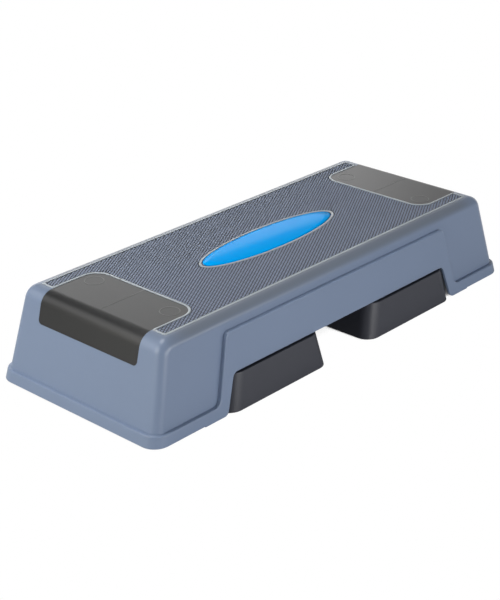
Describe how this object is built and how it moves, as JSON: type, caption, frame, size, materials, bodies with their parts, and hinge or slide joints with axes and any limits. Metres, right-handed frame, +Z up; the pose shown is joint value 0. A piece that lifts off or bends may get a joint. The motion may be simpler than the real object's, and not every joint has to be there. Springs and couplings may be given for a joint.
{
  "type": "aerobic step platform",
  "caption": "Low moulded exercise step with a ribbed deck, soft wrap-over end pads, an oval inlay and sliding legs under an arch for a low and a raised height.",
  "frame": {"origin": "on the floor under the middle of the deck", "axes": "+Z up, +X along the length, -Y the front long side that the picture shows"},
  "size_m": [0.8886, 0.3662, 0.1605],
  "materials": {
    "shell_plastic": "fine moulded satin",
    "pad_soft": "satin soft-touch",
    "badge_gloss": "polished",
    "leg_plastic": "fine moulded satin",
    "foot_rubber": "matt",
    "zinc_steel": "zinc plated",
    "lock_plastic": "fine moulded satin"
  },
  "bodies": {
    "platform": {"platform_shell": "shell_plastic", "end_pad_left": "pad_soft", "end_pad_right": "pad_soft", "badge_plate": "badge_gloss", "platform_foot_left_front": "foot_rubber", "platform_foot_left_rear": "foot_rubber", "platform_foot_right_front": "foot_rubber", "platform_foot_right_rear": "foot_rubber", "stop_washer_left_front": "zinc_steel", "stop_washer_left_rear": "zinc_steel", "stop_washer_right_front": "zinc_steel", "stop_washer_right_rear": "zinc_steel", "stop_screw_left_front": "zinc_steel", "stop_screw_left_rear": "zinc_steel", "stop_screw_right_front": "zinc_steel", "stop_screw_right_rear": "zinc_steel"},
    "leg_left": {"leg_left": "leg_plastic", "leg_foot_left_inner_front": "foot_rubber", "leg_foot_left_inner_rear": "foot_rubber", "leg_foot_left_outer_front": "foot_rubber", "leg_foot_left_outer_rear": "foot_rubber", "lock_keeper_left_front": "lock_plastic", "lock_keeper_left_rear": "lock_plastic", "keeper_screws_left_front": "zinc_steel", "keeper_screws_left_rear": "zinc_steel"},
    "leg_right": {"leg_right": "leg_plastic", "leg_foot_right_inner_front": "foot_rubber", "leg_foot_right_inner_rear": "foot_rubber", "leg_foot_right_outer_front": "foot_rubber", "leg_foot_right_outer_rear": "foot_rubber", "lock_keeper_right_front": "lock_plastic", "lock_keeper_right_rear": "lock_plastic", "keeper_screws_right_front": "zinc_steel", "keeper_screws_right_rear": "zinc_steel"},
    "lock_left_front": {"lock_slide_left_front": "lock_plastic"},
    "lock_left_rear": {"lock_slide_left_rear": "lock_plastic"},
    "lock_right_front": {"lock_slide_right_front": "lock_plastic"},
    "lock_right_rear": {"lock_slide_right_rear": "lock_plastic"}
  },
  "joints": [
    {"name": "leg_left_slide", "type": "slide", "parent": "platform", "child": "leg_left", "axis": [0, 0, -1], "range_m": [0, 0.05]},
    {"name": "leg_right_slide", "type": "slide", "parent": "platform", "child": "leg_right", "axis": [0, 0, -1], "range_m": [0, 0.05]},
    {"name": "lock_left_front_slide", "type": "slide", "parent": "leg_left", "child": "lock_left_front", "axis": [0, -1, 0], "range_m": [0, 0.008]},
    {"name": "lock_left_rear_slide", "type": "slide", "parent": "leg_left", "child": "lock_left_rear", "axis": [0, 1, 0], "range_m": [0, 0.008]},
    {"name": "lock_right_front_slide", "type": "slide", "parent": "leg_right", "child": "lock_right_front", "axis": [0, -1, 0], "range_m": [0, 0.008]},
    {"name": "lock_right_rear_slide", "type": "slide", "parent": "leg_right", "child": "lock_right_rear", "axis": [0, 1, 0], "range_m": [0, 0.008]}
  ]
}
